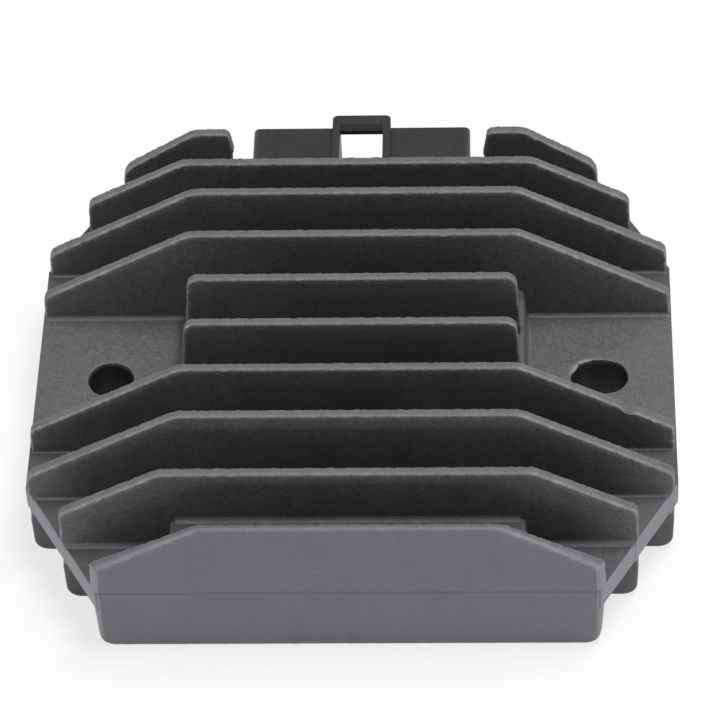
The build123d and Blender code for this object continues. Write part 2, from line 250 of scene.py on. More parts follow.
@dataclass(frozen=True)
class CastFinish:
    """Dark sand-textured die casting, lighter along its rims and feet (partly wear, partly painted highlight)
    and worn bright in spots.

    Tones other than the first are in times the casting's own, and places are in millimetres.
    """

    tone: float = 0.092
    tint: float = 0.045
    mottle: Point = (0.62, 1.38)
    # painted light: how much lighter the front face is painted, as if lit from the front
    painted_front_light_tone: float = 1.62
    painted_front_light_share: float = 0.4
    # rims lighter: partly wear, partly painted highlight
    rim_wear_and_highlight_tone: float = 3.2
    cut_tone: float = 2.85
    # painted shade on the plate between the fins
    painted_gap_shade_tone: float = 0.35
    # painted shade in the holes and on the block's top
    painted_hole_shade_tone: float = 0.04
    # parting line: painted shade in its crease and a painted highlight on its lip
    painted_crease_shade_tone: float = 0.3
    painted_lip_highlight_tone: float = 2.2
    bare_metal: float = 0.36
    roughness: float = 0.6
    grain: float = 0.42
    grain_depth: float = 0.07
    lump_depth: float = 0.06
    pit_depth: float = 0.02
    front: float = -45.3
    deck: float = 12.75
    gaps_from: float = 15.0
    parting: float = 13.0
    parting_start: float = -29.0
    parting_full: float = -20.0

    def times(self, tone: float, tint: float = 1.0) -> Colour:
        """The casting's grey at so many times its tone and tint."""
        return grey(self.tone * tone, self.tint * tint)

    def parting_line(self, graph: SurfaceGraph, colour: Socket, ahead: Value) -> Socket:
        """Draws the line where the die's halves met: a wandering crease of painted shade over a lip with a
        painted highlight.

        Args:
            graph: the material's graph.
            colour: what the line is drawn on.
            ahead: 1 on the front face, 0 elsewhere.

        Returns:
            The colour with the line.
        """
        wander = graph.noise(8.0, 2.0, 0.5, 97.0) * 0.5 - 0.25
        height = graph.axis("Z") + wander - self.parting
        here = ahead * graph.axis("X").rise(self.parting_start, self.parting_full)
        crease = height.size().rise(0.16, 0.03) * here
        lip = height.rise(0.05, -0.05) * height.rise(-0.4, -0.15) * here
        # painted shade along the crease, then a painted highlight on the lip
        colour = graph.blend(crease * 0.42, colour, self.times(self.painted_crease_shade_tone))
        return graph.blend(lip * 0.16, colour, self.times(self.painted_lip_highlight_tone))

    def material(self) -> Material:
        """Builds the casting's material.

        Returns:
            A grey with grains and clouds. A stored rim value up to 1 makes it lighter in patches, with
            spots of bare metal; above 1, as on the corner cuts, evenly lighter; below 0, as in the holes,
            darker. The plate is darker between the fins, and the front face is lighter.
        """
        graph = SurfaceGraph("sand_cast_grey")
        stored = graph.attribute("rim")
        rim = stored.most(0.0).least(1.0)
        cut = stored.rise(1.05, 1.5)
        fine = graph.noise(self.grain, 2.0, 0.65)
        lumps = graph.noise(1.4, 2.0, 0.5, 7.0)
        patches = graph.noise(12.0, 4.0, 0.6, 31.0)
        streaks = graph.noise(2.6, 3.0, 0.6, 53.0, (1.0, 1.0, 6.0))
        shade = (fine - 0.5) * 1.5 + (patches - 0.5) * 0.55 + (streaks - 0.5) * 0.35 + (lumps - 0.5) * 0.3
        colour = graph.blend((shade + 0.5).rise(-0.05, 1.05), *map(self.times, self.mottle))
        # painted light: the front face is painted lighter, as if a low lamp in front lit it
        ahead = graph.axis("Y").rise(self.front + 0.35, self.front)
        painted_front_light_level = (self.painted_front_light_tone - (1 - self.painted_front_light_share)) / self.painted_front_light_share
        colour = graph.blend(ahead * self.painted_front_light_share, colour, self.times(painted_front_light_level, 1.4))
        # painted shade: the plate is painted darker between the fins, where the fins shade it
        on_deck = (graph.axis("Z") - self.deck).size().rise(0.14, 0.05)
        between = on_deck * graph.axis("Y").size().rise(self.gaps_from - 0.4, self.gaps_from + 0.4)
        colour = graph.blend(between * (1.0 - rim) * 0.6, colour, self.times(self.painted_gap_shade_tone))
        # rims painted lighter: partly wear, partly painted highlight
        along = graph.noise(2.4, 3.0, 0.7, 71.0)
        wear_and_highlight = rim * rim * (0.5 + along.rise(0.35, 0.7) * 0.5)
        colour = graph.blend(wear_and_highlight, colour, self.times(self.rim_wear_and_highlight_tone, 0.7))
        colour = graph.blend(cut, colour, self.times(self.cut_tone))
        specks = graph.noise(0.6, 2.0, 0.6, 11.0).rise(0.55, 0.72)
        specks = specks * graph.noise(6.0, 2.0, 0.5, 83.0).rise(0.45, 0.62)
        worn = specks * rim.rise(0.6, 1.0) * (1.0 - cut)
        colour = graph.blend(worn * 0.7, colour, grey(self.bare_metal, 0.01))
        colour = self.parting_line(graph, colour, ahead)
        # painted shade: rim values below 0, down the holes and over the block's top, are painted darker
        colour = graph.blend(stored.rise(0.0, -1.0) * 0.95, colour, self.times(self.painted_hole_shade_tone))
        pits = graph.cells(1.1, 5.0).rise(0.0, 0.35)
        sand = fine * (0.75 + rim * 0.9)
        relief = graph.relief((lumps, self.lump_depth), (sand, self.grain_depth), (pits, self.pit_depth))
        rough = self.roughness + (fine - 0.5) * 0.3 - worn * 0.25
        return graph.finish(base_color=colour, roughness=rough, metallic=worn * 0.6, normal=relief,
                            specular_ior_level=0.4)


@dataclass(frozen=True)
class MouldedFinish:
    """Dark moulded plastic with a fine spark-eroded skin and faint scuffs."""

    name: str
    tone: float
    roughness: float
    tint: float = 0.0
    skin: float = 0.25
    specular: float = 0.5

    def material(self) -> Material:
        """Builds the plastic's material.

        Returns:
            A grey that clouds mottle and scuffs lighten, over a fine even relief.
        """
        graph = SurfaceGraph(self.name)
        skin = graph.noise(self.skin, 2.0, 0.5)
        clouds = graph.noise(6.0, 4.0, 0.65, 17.0, (1.0, 1.6, 1.0))
        scuffs = graph.noise(1.6, 3.0, 0.7, 41.0, (0.5, 3.0, 1.0)).rise(0.55, 0.75)
        mottle = ((clouds - 0.5) * 0.8 + 0.5).rise(0.1, 0.9)
        colour = graph.blend(mottle, grey(self.tone * 0.72, self.tint), grey(self.tone * 1.3, self.tint))
        colour = graph.blend(scuffs * 0.4, colour, grey(self.tone * 2.6, self.tint))
        rough = self.roughness + (clouds - 0.5) * 0.2 + scuffs * 0.1
        return graph.finish(base_color=colour, roughness=rough, normal=graph.relief((skin, 0.02)),
                            specular_ior_level=self.specular)


@dataclass(frozen=True)
class SheetMetalFinish:
    """Tinned or bare sheet metal with rolling marks along one direction."""

    name: str
    colour: Colour
    roughness: float

    def material(self) -> Material:
        """Builds the metal's material.

        Returns:
            Rolling lines along Y as relief, and a cloudy dulling.
        """
        graph = SurfaceGraph(self.name)
        lines = graph.noise(0.12, 2.0, 0.6, 3.0, (1.0, 30.0, 1.0))
        dull = graph.noise(2.5, 3.0, 0.6, 23.0)
        dark = tuple(part * 0.72 for part in self.colour[:3]) + (1.0,)
        colour = graph.blend(dull.rise(0.3, 0.8) * 0.6, self.colour, dark)
        rough = self.roughness + (dull - 0.5) * 0.3
        relief = graph.relief((lines, 0.01))
        return graph.finish(base_color=colour, metallic=1.0, roughness=rough, normal=relief)


@dataclass(frozen=True)
class LaminateFinish:
    """Green glass-fibre board with a faint weave under its solder mask."""

    dark: Colour = (0.018, 0.10, 0.035, 1.0)
    light: Colour = (0.03, 0.16, 0.06, 1.0)

    def material(self) -> Material:
        """Builds the board's material.

        Returns:
            Mottled green over a weave of two crossed noises.
        """
        graph = SurfaceGraph("board_laminate")
        along = graph.noise(0.4, 1.0, 0.5, 0.0, (8.0, 1.0, 1.0))
        across = graph.noise(0.4, 1.0, 0.5, 9.0, (1.0, 8.0, 1.0))
        weave = along * 0.5 + across * 0.5
        colour = graph.blend(weave.rise(0.3, 0.7), self.dark, self.light)
        return graph.finish(base_color=colour, roughness=0.35, normal=graph.relief((weave, 0.015)))


@dataclass(frozen=True)
class ResinFinish:
    """Cured black potting resin: almost smooth, with slow waves, dust and a few pin holes."""

    black: float = 0.016
    dusty: float = 0.06
    roughness: float = 0.24

    def material(self) -> Material:
        """Builds the resin's material.

        Returns:
            Slow waves and pin holes as relief, and dust as paler, duller spots.
        """
        graph = SurfaceGraph("potting_resin")
        waves = graph.noise(14.0, 2.0, 0.5, 3.0)
        dust = graph.noise(9.0, 3.0, 0.6, 61.0).rise(0.35, 0.75)
        dust = graph.noise(0.5, 4.0, 0.7, 19.0).rise(0.56, 0.8) * dust
        holes = graph.cells(5.0, 13.0).rise(0.0, 0.07)
        colour = graph.blend(dust * 0.5, grey(self.black), grey(self.dusty))
        rough = self.roughness + dust * 0.4 + (waves - 0.5) * 0.15
        relief = graph.relief((waves, 0.35), (holes, 0.12))
        return graph.finish(base_color=colour, roughness=rough, normal=relief)


# Surfaces on grids


@dataclass
class Shell:
    """A closed surface on a grid of points, each with a rim value.

    The grid is closed across its second direction, and along its first if it is a ring. Otherwise its first
    and last rows each lie on one line or point.
    """

    points: Array
    rim: Array
    ring: bool = False

    def faces(self) -> Array:
        """Quads between neighbours, turned outwards by the sign of the enclosed volume.

        Returns:
            Four point numbers per quad.
        """
        rows, columns = self.points.shape[:2]
        number = np.arange(rows * columns).reshape(rows, columns)
        here = number if self.ring else number[:-1]
        there = np.roll(number, -1, axis=0) if self.ring else number[1:]
        quads = np.stack([here, there, np.roll(there, -1, axis=1), np.roll(here, -1, axis=1)], axis=-1)
        quads = quads.reshape(-1, 4)
        start, *rest = np.moveaxis(self.points.reshape(-1, 3)[quads], 1, 0)
        second, third, fourth = (corner - start for corner in rest)
        volume = np.sum(start * (np.cross(second, third) + np.cross(third, fourth)))
        return quads if volume > 0 else quads[:, ::-1]


def ripple(place: Array, wave: float, seed: int) -> Array:
    """Smooth irregular variation of about plus or minus one along a length.

    It is the sum of nine sines with random phases, from twice the wavelength to a third of it, divided by
    that sum's spread.

    Args:
        place: lengths in millimetres.
        wave: the middle wavelength.
        seed: picks the phases.

    Returns:
        The variation at each length.
    """
    draw = np.random.default_rng(seed)
    lengths = wave * np.geomspace(2.0, 0.33, 9) * draw.uniform(0.9, 1.1, 9)
    phases = draw.uniform(0, 2 * pi, 9)
    return np.sin(place[..., None] * (2 * pi / lengths) + phases).sum(axis=-1) / 2.6


def straight(start: Array, end: Array, spacing: float) -> tuple[Array, Array]:
    """Divides a straight run evenly.

    Args:
        start: where it starts.
        end: where it ends.
        spacing: the widest step.

    Returns:
        The points between its ends, and their normals.
    """
    run = end - start
    length = np.linalg.norm(run)
    share = np.linspace(0, 1, max(1, ceil(length / spacing)) + 1)[1:-1, None]
    way = run / max(length, 1e-9)
    return start + share * run, np.broadcast_to((-way[1], way[0]), (len(share), 2))


def rounded_path(corners: list[Triple], spacing: float, closed: bool) -> tuple[Array, Array]:
    """Points and outward normals along straight runs joined by arcs.

    An arc touches the runs at the radius times the tangent of half the turn from its corner. Runs and arcs
    are divided evenly, and a normal is the path's direction turned a quarter to the left.

    Args:
        corners: two coordinates and the radius of each corner.
        spacing: the widest step between points.
        closed: whether the last corner joins the first.

    Returns:
        The points and the normals.
    """
    place, radii = np.array(corners, float)[:, :2], [corner[2] for corner in corners]
    count = len(corners)
    parts = []
    last = None
    for i, radius in enumerate(radii):
        before, after = place[i] - place[i - 1], place[(i + 1) % count] - place[i]
        before, after = before / np.linalg.norm(before), after / np.linalg.norm(after)
        if not closed and i in (0, count - 1):
            start = end = place[i]
            way = after if i == 0 else before
            arc = place[i:i + 1], [(-way[1], way[0])]
        else:
            turn = atan2(before[0] * after[1] - before[1] * after[0], float(before @ after))
            reach = radius * tan(abs(turn) / 2)
            start, end = place[i] - before * reach, place[i] + after * reach
            side = 1.0 if turn > 0 else -1.0
            spoke = np.array([before[1], -before[0]]) * side
            angles = np.linspace(0, turn, max(2, ceil(radius * abs(turn) / spacing) + 1))
            turned = np.outer(np.cos(angles), spoke) + np.outer(np.sin(angles), (-spoke[1], spoke[0]))
            arc = start + (turned - spoke) * radius, -turned * side
        if last is not None:
            parts.append(straight(last, start, spacing))
        parts.append(arc)
        last = end
    if closed:
        parts.append(straight(last, parts[0][0][0], spacing))
    points, normals = (np.concatenate(halves) for halves in zip(*parts))
    return points, normals


def capped(grid: Array, rim: Array) -> Shell:
    """A shell from an open grid, whose first and last rows each close on their middle."""
    ends = [np.broadcast_to(row.mean(axis=0), row.shape)[None] for row in (grid[0], grid[-1])]
    return Shell(np.concatenate([ends[0], grid, ends[1]]), np.concatenate([rim[:1], rim, rim[-1:]]))


def bar(section: Array, starts: Array | float, ends: Array | float, rim: float = 0.0) -> Shell:
    """A straight bar along X from starts to ends, with Y and Z by its closed section, capped."""
    grid = np.stack([np.column_stack([np.broadcast_to(x, len(section)), section]) for x in (starts, ends)])
    return capped(grid, np.full(grid.shape[:2], rim))


def turned_round(section: list[tuple[Array, Array | float, Array | float]]) -> Shell:
    """A ring whose loops have as many points each; point i of all makes up section i.

    Args:
        section: X and Y of each loop, its height or heights, and its rim value or values.

    Returns:
        The ring's shell.
    """
    count = len(section[0][0])
    grid = np.stack([np.column_stack([loop, np.broadcast_to(z, count)]) for loop, z, _ in section], axis=1)
    rim = np.stack([np.broadcast_to(glow, count) for _, _, glow in section], axis=1)
    return Shell(grid, rim, ring=True)


def smooth(mesh: bpy.types.Mesh, fold: float) -> None:
    """Shades a mesh smooth, except across folds sharper than an angle in degrees."""
    mesh.polygons.foreach_set("use_smooth", np.ones(len(mesh.polygons), bool))
    mesh.set_sharp_from_angle(angle=radians(fold))


def linked(name: str, data: bpy.types.ID | None) -> Piece:
    """Puts a new object into the scene.

    Args:
        name: its name.
        data: its mesh, lamp or camera.

    Returns:
        The object.
    """
    thing = bpy.data.objects.new(name, data)
    bpy.context.scene.collection.objects.link(thing)
    return thing


def joined(name: str, shells: list[Shell]) -> Piece:
    """One object from closed shells, smooth except across sharp folds.

    Args:
        name: its name.
        shells: the surfaces, in millimetres.

    Returns:
        The object, in metres, with the rim values stored on its points.
    """
    offsets = np.cumsum([0] + [shell.rim.size for shell in shells])
    points = np.concatenate([shell.points.reshape(-1, 3) for shell in shells]) * MM
    rims = np.concatenate([shell.rim.ravel() for shell in shells])
    quads = np.concatenate([shell.faces() + start for shell, start in zip(shells, offsets)])
    mesh = bpy.data.meshes.new(name)
    mesh.from_pydata(points.tolist(), [], quads.tolist())
    mesh.attributes.new("rim", "FLOAT", "POINT").data.foreach_set("value", rims.astype(np.float32))
    cleaner = bmesh.new()
    cleaner.from_mesh(mesh)
    bmesh.ops.remove_doubles(cleaner, verts=cleaner.verts, dist=MERGE)
    bmesh.ops.dissolve_degenerate(cleaner, dist=MERGE / 2, edges=cleaner.edges)
    cleaner.to_mesh(mesh)
    cleaner.free()
    smooth(mesh, 38.0)
    return linked(name, mesh)


# The casting


@dataclass(frozen=True)
class Row:
    """One row of fins: its crest's height over the deck, half length where level and slope in degrees beyond,
    its tips' radius, how far it stays inside the plate's edge, and its feet's radius.

    A level half length of 0 marks a short row, which stands on the block alone.
    """

    height: float
    level: float
    slope: float
    tip: float
    inset: float
    foot: float


@dataclass
class Casting:
    """The finned die casting: ear plates, raised block, fins, lower ribs and their concave feet.

    Sizes are in millimetres and drafts in degrees. Rim values say how much lighter a surface is painted,
    partly as wear and partly as painted highlight; below 0 they paint shade.
    """

    spacing: float = 10.0
    base: float = 2.1
    draft: float = 0.75
    end_draft: float = 3.0
    front_end_draft: float = 2.0
    rear_lean: float = 1.5
    rib_draft: float = 1.0
    front_rib_draft: float = 1.25
    cut_fade: float = 0.05
    rib_corner: float = 2.4
    half_width: float = 52.2
    half_depth: float = 46.05
    front_cut: Point = (12.9, 22.4)
    rear_cut: Point = (11.6, 21.0)
    deck: float = 12.75
    plate_under: float = 8.25
    plate_edge: float = 0.3
    edge_gap: float = 0.1
    proud: float = 0.04
    wall_middle: float = 2.0
    block_half: float = 28.4
    block_top: float = 18.65
    block_draft: float = 5.3
    block_edge: float = 0.8
    block_front: float = -45.0
    wall_rear: float = 44.2
    wall_inner: float = 41.2
    pocket_half: float = 25.4
    pocket_front: float = -43.05
    pocket_top: float = 15.45
    pocket_corner: float = 3.0
    opening_half: float = 18.85
    split_half: float = 21.5
    hole_place: float = 40.0
    hole_radius: float = 3.7
    slot_half: float = 4.65
    boss_wall: float = 3.8
    web_half: float = 3.5
    step: float = 0.45
    front_bends: Point = (-22.84, 24.16)
    burrs: tuple[Point, Point] = ((-21.25, 22.0), (21.03, 20.8))
    buried: float = 17.0
    rim: float = 0.38
    rib_rough: float = 0.2
    # rim values: how much lighter each part is painted, partly as wear and partly as painted highlight
    rib_shine: float = 0.3
    level_shine: float = 0.68
    front_shine: float = 0.16
    crest_glow: float = 0.46
    rear_glow: float = 0.6
    cut_glow: float = 1.6
    # feet lighter, front ones more: partly a lighter texture, partly painted highlight
    front_foot_glow: float = 0.63
    rear_foot_glow: float = 0.25

    # Share of a face's height, or of the rim's quarter circle, and the rim value there
    flats = ((0.0, 0.0), (0.6, 0.0), (0.93, 0.12))
    turns = ((0.0, 0.6), (0.3, 0.95), (0.62, 1.0), (1.0, 0.75))
    # on the block, the top's edge ring is below 0 (painted shade over the top) and the rounded edge lighter
    # (partly painted highlight)
    block_turns = ((0.0, -0.4), (0.33, 0.1), (0.66, 0.25), (1.0, 0.1))
    rows = (
        Row(13.3, 28.0, 33.4, 4.0, -0.05, 0.25),
        Row(15.9, 29.2, 29.3, 2.2, 0.15, 0.3),
        Row(18.7, 27.0, 29.5, 2.2, -0.2, 0.4),
        Row(18.8, 27.0, 29.5, 1.8, 0.15, 0.55),
        Row(18.8, 0.0, 0.0, 2.0, 0.0, 0.25),
        Row(18.8, 0.0, 0.0, 2.0, 0.0, 0.25),
        Row(18.8, 27.0, 29.5, 1.5, 0.25, 0.25),
        Row(18.75, 27.0, 29.5, 2.2, 0.3, 0.35),
        Row(16.3, 29.2, 29.3, 1.6, 0.5, 0.7),
        Row(14.7, 23.5, 29.3, 1.5, 0.0, 0.3),
    )
    # Knocks on the rims: row, X, half width, dent, metal spilt ahead, and the share of light they take off
    knocks = (
        (6, 44.3, 0.95, 0.36, 0.42, 0.9),
        (6, 48.5, 0.35, -0.02, 0.30, 0.0),
        (1, -29.8, 0.30, 0.02, 0.34, 0.0),
        (1, 21.8, 0.8, 0.05, 0.10, 0.0),
        (3, 14.5, 0.7, 0.06, 0.15, 0.3),
        (8, -18.0, 0.4, 0.04, 0.25, 0.0),
    )

    def centre(self, row: int) -> float:
        """Y of a fin row."""
        return (len(self.rows) - 1) * self.spacing / 2 - row * self.spacing

    def side(self, y: Array | float) -> Array:
        """Half width of the plate: full, less each corner cut's share of the way past its start.

        Args:
            y: the depth or depths.

        Returns:
            The half widths.
        """
        half = self.half_width
        for way, (across, along) in ((-1, self.front_cut), (1, self.rear_cut)):
            half = half - across / along * np.maximum(0, way * y - (self.half_depth - along))
        return half

    def trimmed(self, row: int) -> bool:
        """Whether the row's ends lie flush with the front corner cuts, as only the front row's do."""
        return row == len(self.rows) - 1

    def reach(self, row: int) -> float:
        """Half length of a row at the plate's top, by its rear face or, in front, its middle."""
        behind = 0.0 if self.trimmed(row) else self.base / 2
        return self.side(self.centre(row) + behind) - self.rows[row].inset

    def low(self, row: int) -> float:
        """Where a row's walls start: inside the plate, or at its top in the first and last rows."""
        return self.deck if row == 0 or self.trimmed(row) else self.deck - self.wall_middle

    def half_thickness(self, z: Array, row: int, face: int) -> Array:
        """Distance of a wall's face from its middle.

        It is half the base thickness less the height from the deck times the tangent of the draft, which is
        larger on the front row's rear face.

        Args:
            z: the heights.
            row: the fin row.
            face: -1 for the front face, 1 for the rear one.

        Returns:
            The distances.
        """
        steep = (z > self.deck) & (face > 0) & self.trimmed(row)
        lean = np.radians(np.where(steep, self.rear_lean, self.draft))
        return self.base / 2 - np.abs(z - self.deck) * np.tan(lean)

    def wall(self, path: list[Triple], heights: Point, inner: float, row: int, seed: int,
             shine: float = 1.0) -> Shell:
        """A thin drafted wall with rounded, uneven rims.

        A section runs from the base line up the front face, round a quarter circle, over the crest and down
        the rear face. The base line has the outline's spacing in X. Ripples and the knocks' bell curves
        move the outline along its normal and change the rims' radii.

        Args:
            path: X, Z and radius of the outline's corners.
            heights: Z of the base line inside and outside the inner half width.
            inner: that half width.
            row: the fin row.
            seed: picks the ripples.
            shine: how strongly the rims are lightened, partly as wear and partly as painted highlight; 1 on
                fins.

        Returns:
            The wall's shell.
        """
        points, normals = rounded_path(path, self.step, False)
        along = np.concatenate([[0], np.cumsum(np.linalg.norm(np.diff(points, axis=0), axis=1))])
        x = points[0, 0] + (points[-1, 0] - points[0, 0]) * along / along[-1]
        bottom = np.column_stack([x, np.where(np.abs(x) < inner, *heights)])
        fade = np.clip(np.minimum(along, along[-1] - along) / 1.5, 0, 1)
        rough = 1.0 if shine == 1.0 else self.rib_rough
        uneven = 0.022 * ripple(along, 3.2, seed) + 0.012 * ripple(along, 1.1, seed + 1)
        swell = (rough * uneven - 0.045) * fade
        bulge = rough * 0.05 * ripple(along, 2.6, seed + 2) * fade
        upright = np.abs(normals[:, 0])
        level_shine = self.front_shine if self.trimmed(row) else self.level_shine
        # rims are painted lighter on steep slopes than on level crests: partly wear, partly painted highlight
        glow_here = shine * (level_shine + (1 - level_shine) * np.clip(upright / 0.45, 0, 1)) * fade
        for knocked, place, width, dent, spill, dulled in self.knocks:
            if knocked == row and shine == 1.0:
                near = np.exp(-((points[:, 0] - place) / width) ** 2)
                swell = swell - dent * near
                bulge = bulge + spill * near
                glow_here = glow_here * (1 - dulled * near)
        points = points + normals * swell[:, None]
        columns, glows = [], []
        for face in (-1, 1):
            level = self.half_thickness(points[:, 1], row, face)
            radius = (self.rim * (1 + rough * 0.24 * ripple(along, 2.1, seed + 5 + face)))[:, None]
            part = []
            for share, glow in self.flats:
                flat = bottom + (points - normals * radius - bottom) * share
                part.append((flat, self.half_thickness(flat[:, 1], row, face), glow))
            for share, glow in self.turns:
                turn = share * pi / 2
                spill = bulge * sin(2 * turn + 0.4) if face < 0 else 0.0
                half = level - radius[:, 0] * (1 - cos(turn)) + spill
                # the rear face's rim gets less of the painted highlight
                glow = glow if face < 0 else glow * self.rear_glow
                part.append((points - normals * radius * (1 - sin(turn)), half, glow))
            part.append((points, 0.3 * level, self.crest_glow))
            part = part[::-face]
            columns += [np.column_stack([flat[:, 0], face * half, flat[:, 1]]) for flat, half, _ in part]
            glows += [glow for _, _, glow in part]
        return self.fitted(np.stack(columns, axis=1), np.array(glows) * glow_here[:, None], upright, row)

    def fitted(self, grid: Array, rim: Array, upright: Array, row: int) -> Shell:
        """Puts a wall at its row, fits its ends to the plate's corner cuts and closes them.

        The front row's ends follow the cuts across the thickness. What stands past a cut beside the plate's
        edge is cut almost flush with it. Both are as light as the cuts.

        Args:
            grid: the wall's points with Y from its middle.
            rim: their rim values.
            upright: how upright the outline stands at each row of the grid.
            row: the fin row.

        Returns:
            The wall's shell.
        """
        y, z = self.centre(row) + grid[:, :, 1], grid[:, :, 2]
        out = np.abs(grid[:, :, 0])
        if self.trimmed(row):
            columns = np.arange(grid.shape[1])
            cap = np.clip(5 - np.abs(columns - columns.mean()), 0, 1)
            follow = np.clip((out - 30) / 8, 0, 1) * (1 - np.maximum(0, self.deck - z) * self.cut_fade)
            out = out + (self.side(y) - self.side(self.centre(row))) * follow
            end = np.clip((upright - 0.8) / 0.15, 0, 1)[:, None] * (out > 38)
            rim = np.maximum(rim, self.cut_glow * end * cap)
        edge = (self.plate_under - 0.8, self.plate_under, self.deck + 0.15, self.deck + 1.1)
        beside = np.interp(z, edge, (0.0, 1.0, 1.0, 0.0))
        past = np.maximum(0, out - self.side(y) - self.proud) * beside
        rim = np.maximum(rim, np.clip(past / 0.1, 0, 1) * self.cut_glow * (beside > 0.95))
        return capped(np.stack([np.sign(grid[:, :, 0]) * (out - past), y, z], axis=-1), rim)

    @staticmethod
    def mirrored(half: list[Triple]) -> list[Triple]:
        """Corners from the left end to the right one, from those of the right half, its outer end first."""
        return [(-x, z, r) for x, z, r in half] + half[::-1]

    def fin(self, row: int) -> list[Shell]:
        """The upper fin of a row: level crest, sloping shoulders and drafted ends.

        Args:
            row: the fin row.

        Returns:
            One shell, or two where the connector parts the rear row.
        """
        size, front = self.rows[row], self.trimmed(row)
        lean = tan(radians(self.front_end_draft if front else self.end_draft))
        top = self.deck + size.height
        seed = 100 + 10 * row
        if size.level == 0.0:
            foot = self.block_half - 0.8
            half = [(foot, self.buried, 0.0), (foot - size.height * lean, top, size.tip)]
            return [self.wall(self.mirrored(half), (self.buried, self.buried), 0.0, row, seed)]
        fall = tan(radians(size.slope))
        reach, low = self.reach(row), self.low(row)
        tip = (size.height - (reach - size.level) * fall) / (1 - lean * fall)
        half = [(reach, low, 0.0), (reach - tip * lean, self.deck + tip, size.tip), (size.level, top, 4.0)]
        if row == 0:
            shells = []
            end = self.split_half
            for side, (burr_x, burr_z) in zip((-1, 1), self.burrs):
                path = half + [(end + 0.35, top, 1.2), (side * burr_x, burr_z, 0.25),
                               (end + 0.1, burr_z - 1.1, 0.4), (end, low, 0.0)]
                path = [(side * x, z, r) for x, z, r in path][::-side]
                shells.append(self.wall(path, (low, low), 0.0, row, seed + side))
            return shells
        path = self.mirrored(half)
        if front:
            path[2:4] = [(self.front_bends[0], top, 1.5), (self.front_bends[1], top, 6.0)]
        return [self.wall(path, (low if front else self.buried + 0.2, low), self.block_half - 1.1, row, seed)]

    def rib(self, row: int) -> list[Shell]:
        """The lower walls of a row: one on each side, or one across the front.

        Args:
            row: the fin row.

        Returns:
            The walls' shells.
        """
        front = self.trimmed(row)
        reach, low = self.reach(row), self.low(row)
        foot = reach - self.deck * tan(radians(self.front_rib_draft if front else self.rib_draft))
        seed = 300 + 10 * row
        half = [(reach, low, 0.0), (foot, 0.0, self.rib_corner)]
        if front:
            return [self.wall(self.mirrored(half)[::-1], (low, low), 0.0, row, seed, self.rib_shine)]
        inner = self.split_half if row == 0 else self.block_half - 1.0
        half += [(inner, 0.0, 0.4), (inner, low, 0.0)]
        shells = []
        for side in (-1, 1):
            path = [(side * x, z, r) for x, z, r in half][::side]
            shells.append(self.wall(path, (low, low), 0.0, row, seed + side, self.rib_shine))
        return shells

    def ear_plate(self, side: int) -> Shell:
        """One side of the base plate with its hole and the boss below it.

        The surface turns round the hole. Its section runs up the hole's wall, out over the plate's top to
        the outline, back under the plate, and down the boss. A point of the outline shares its spoke with
        one of the hole's loop. The slotted hole has a skin of metal and small teeth.

        Args:
            side: -1 for the round hole, 1 for the slotted one.

        Returns:
            The plate's shell.
        """
        inner = self.block_half - 1.2
        ends = self.half_depth - self.edge_gap
        cut_start = self.front_cut[1] - self.half_depth
        rear_start = self.half_depth - self.rear_cut[1]
        corners = [(inner, -ends), (self.side(-ends), -ends), (self.half_width, cut_start),
                   (self.half_width, rear_start), (self.side(ends), ends), (inner, ends)]
        outline, _ = rounded_path([(x, y, 0.25) for x, y in corners], 0.5, True)
        centre = (self.hole_place, 0.0)
        spoke = outline - centre
        angle = np.arctan2(spoke[:, 1], spoke[:, 0])
        around = np.column_stack([np.cos(angle), np.sin(angle)])
        stretch = 0.0 if side < 0 else self.slot_half - self.hole_radius
        middles = centre + np.column_stack([np.clip(np.cos(angle) * 2.0, -1, 1) * stretch, 0 * angle])

        def loop(radius: float | Array) -> Array:
            """Round the hole at a distance from its middle line, whose halves are moved apart in X."""
            return middles + around * np.reshape(radius, (-1, 1))

        ragged = 0.02 * (np.sin(3 * angle + 1.0) + np.sin(7 * angle + 2.0 + side) + np.sin(12 * angle + 4.0))
        skin = np.exp(-((angle - 2.6) / 0.34) ** 2) * (side > 0)
        teeth = np.exp(-((angle - 2.05) / 0.3) ** 2) * (side > 0)
        ragged = ragged - 0.5 * skin - teeth * (0.12 + 0.1 * ripple(angle * self.hole_radius, 1.3, 77))
        flash = np.maximum(skin, teeth)
        hole, boss = self.hole_radius, self.hole_radius + self.boss_wall
        deck, under, edge = self.deck, self.plate_under, self.plate_edge
        inset = spoke / np.linalg.norm(spoke, axis=1, keepdims=True) * edge
        x, y = outline.T
        slanted = (y < cut_start - 0.3) & (y > 0.3 - ends) & (x > inner + 1)
        cut_face = np.where(slanted, self.cut_glow, 0.25)
